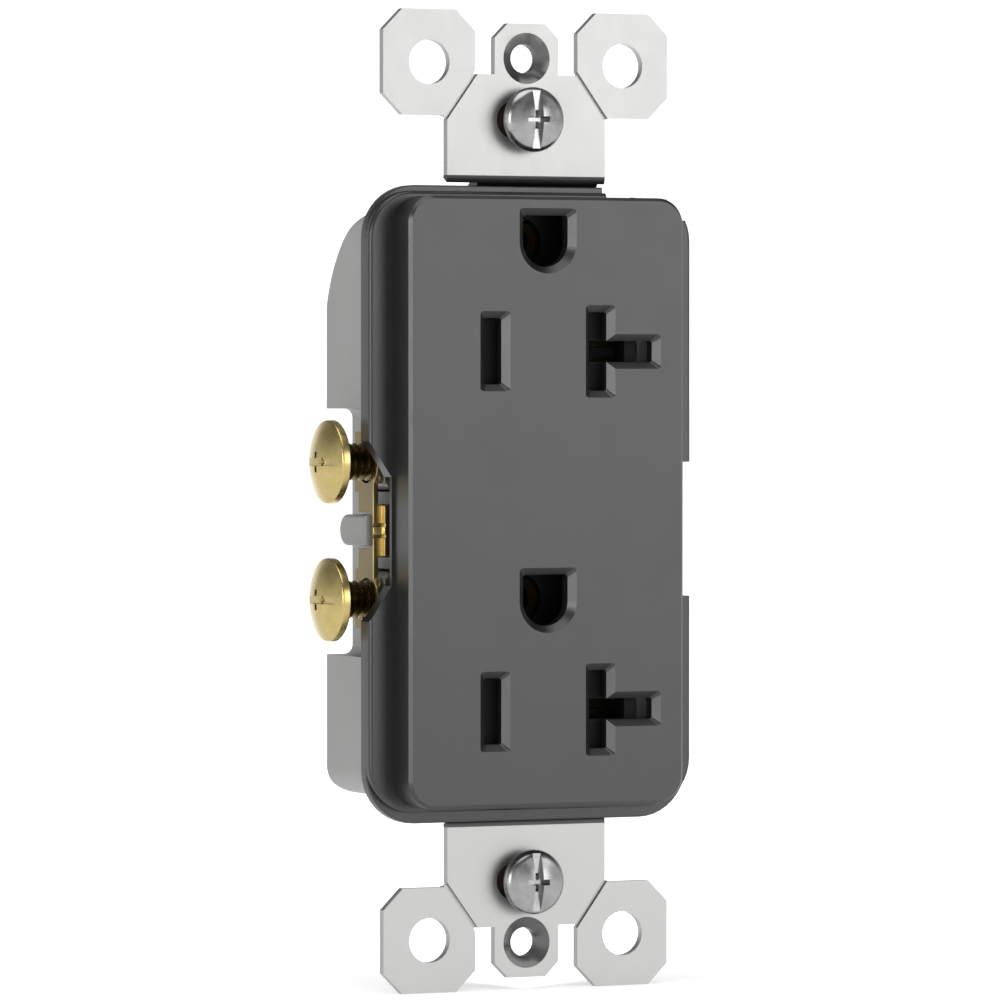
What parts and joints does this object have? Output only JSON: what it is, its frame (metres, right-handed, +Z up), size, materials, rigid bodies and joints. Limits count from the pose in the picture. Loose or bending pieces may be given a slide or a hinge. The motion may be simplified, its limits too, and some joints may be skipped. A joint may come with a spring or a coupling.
{
  "type": "duplex wall outlet",
  "caption": "Decorator duplex wall receptacle with T-slot openings, mounting strap with break-off ears, side terminal screws and shutters.",
  "frame": {"origin": "middle of the mounting strap, on its wall side: Y = 0 is the plane that the ears rest on", "axes": "+Z up the long axis with the ground holes on top; +X right; the face looks along -Y"},
  "size_m": [0.0432, 0.02, 0.1072],
  "materials": {
    "cover": "fine matt graphite moulding",
    "body": "light grey moulding",
    "strap": "zinc plated",
    "zinc_screw": "zinc plated",
    "brass": "stamped sheet",
    "brass_screw": "brass plated, turned",
    "nickel_screw": "nickel plated",
    "green_screw": "green dyed plating",
    "steel": "plain",
    "fibre": "vulcanised fibre",
    "shutter": "black nylon",
    "guide": "natural nylon"
  },
  "bodies": {
    "receptacle": {"front_cover": "cover", "back_body": "body", "strap": "strap", "hot_strip": "brass", "neutral_strip": "brass", "ground_contact_upper": "brass", "ground_contact_lower": "brass", "ground_rivet_upper": "steel", "ground_rivet_lower": "steel", "shutter_guide_upper": "guide", "shutter_guide_lower": "guide", "shutter_spring_upper": "steel", "shutter_spring_lower": "steel", "assembly_screw_upper_left": "steel", "assembly_screw_upper_right": "steel", "assembly_screw_lower_left": "steel", "assembly_screw_lower_right": "steel"},
    "clamp_hot_upper": {"clamp_hot_upper": "steel"},
    "terminal_screw_hot_upper": {"terminal_screw_hot_upper": "brass_screw"},
    "clamp_hot_lower": {"clamp_hot_lower": "steel"},
    "terminal_screw_hot_lower": {"terminal_screw_hot_lower": "brass_screw"},
    "clamp_neutral_upper": {"clamp_neutral_upper": "steel"},
    "terminal_screw_neutral_upper": {"terminal_screw_neutral_upper": "nickel_screw"},
    "clamp_neutral_lower": {"clamp_neutral_lower": "steel"},
    "terminal_screw_neutral_lower": {"terminal_screw_neutral_lower": "nickel_screw"},
    "screw_retainer_upper": {"screw_retainer_upper": "fibre"},
    "mounting_screw_upper": {"mounting_screw_upper": "zinc_screw"},
    "screw_retainer_lower": {"screw_retainer_lower": "fibre"},
    "mounting_screw_lower": {"mounting_screw_lower": "zinc_screw"},
    "ground_screw": {"ground_screw": "green_screw"},
    "shutter_upper": {"shutter_upper": "shutter"},
    "shutter_lower": {"shutter_lower": "shutter"}
  },
  "joints": [
    {"name": "clamp_hot_upper_float", "type": "slide", "parent": "receptacle", "child": "clamp_hot_upper", "axis": [1, 0, 0], "range_m": [0, 0.0035]},
    {"name": "terminal_screw_hot_upper_turn", "type": "hinge", "parent": "clamp_hot_upper", "child": "terminal_screw_hot_upper", "pos_m": [-0.0207, 0.0042, 0.0043], "axis": [-1, 0, 0], "continuous": true},
    {"name": "clamp_hot_lower_float", "type": "slide", "parent": "receptacle", "child": "clamp_hot_lower", "axis": [1, 0, 0], "range_m": [0, 0.0035]},
    {"name": "terminal_screw_hot_lower_turn", "type": "hinge", "parent": "clamp_hot_lower", "child": "terminal_screw_hot_lower", "pos_m": [-0.0207, 0.0042, -0.0107], "axis": [-1, 0, 0], "continuous": true},
    {"name": "clamp_neutral_upper_float", "type": "slide", "parent": "receptacle", "child": "clamp_neutral_upper", "axis": [-1, 0, 0], "range_m": [0, 0.0007]},
    {"name": "terminal_screw_neutral_upper_turn", "type": "hinge", "parent": "clamp_neutral_upper", "child": "terminal_screw_neutral_upper", "pos_m": [0.0179, 0.0042, 0.0043], "axis": [1, 0, 0], "continuous": true},
    {"name": "clamp_neutral_lower_float", "type": "slide", "parent": "receptacle", "child": "clamp_neutral_lower", "axis": [-1, 0, 0], "range_m": [0, 0.0007]},
    {"name": "terminal_screw_neutral_lower_turn", "type": "hinge", "parent": "clamp_neutral_lower", "child": "terminal_screw_neutral_lower", "pos_m": [0.0179, 0.0042, -0.0107], "axis": [1, 0, 0], "continuous": true},
    {"name": "mounting_slot_upper_slide", "type": "slide", "parent": "receptacle", "child": "screw_retainer_upper", "axis": [1, 0, 0], "range_m": [-0.0015, 0.0015]},
    {"name": "mounting_screw_upper_turn", "type": "hinge", "parent": "screw_retainer_upper", "child": "mounting_screw_upper", "pos_m": [0, -0.0025, 0.04165], "axis": [0, -1, 0], "continuous": true},
    {"name": "mounting_slot_lower_slide", "type": "slide", "parent": "receptacle", "child": "screw_retainer_lower", "axis": [1, 0, 0], "range_m": [-0.0015, 0.0015]},
    {"name": "mounting_screw_lower_turn", "type": "hinge", "parent": "screw_retainer_lower", "child": "mounting_screw_lower", "pos_m": [0, -0.0025, -0.04165], "axis": [0, -1, 0], "continuous": true},
    {"name": "ground_screw_turn", "type": "hinge", "parent": "receptacle", "child": "ground_screw", "pos_m": [0.0166, 0.007, 0.0303], "axis": [1, 0, 0], "continuous": true},
    {"name": "shutter_upper_slide", "type": "slide", "parent": "receptacle", "child": "shutter_upper", "axis": [1, 0, 0], "range_m": [0, 0.0026], "stiffness_N_per_m": 90, "springref_m": -0.002, "deforming": ["shutter_spring_upper"]},
    {"name": "shutter_lower_slide", "type": "slide", "parent": "receptacle", "child": "shutter_lower", "axis": [1, 0, 0], "range_m": [0, 0.0026], "stiffness_N_per_m": 90, "springref_m": -0.002, "deforming": ["shutter_spring_lower"]}
  ]
}
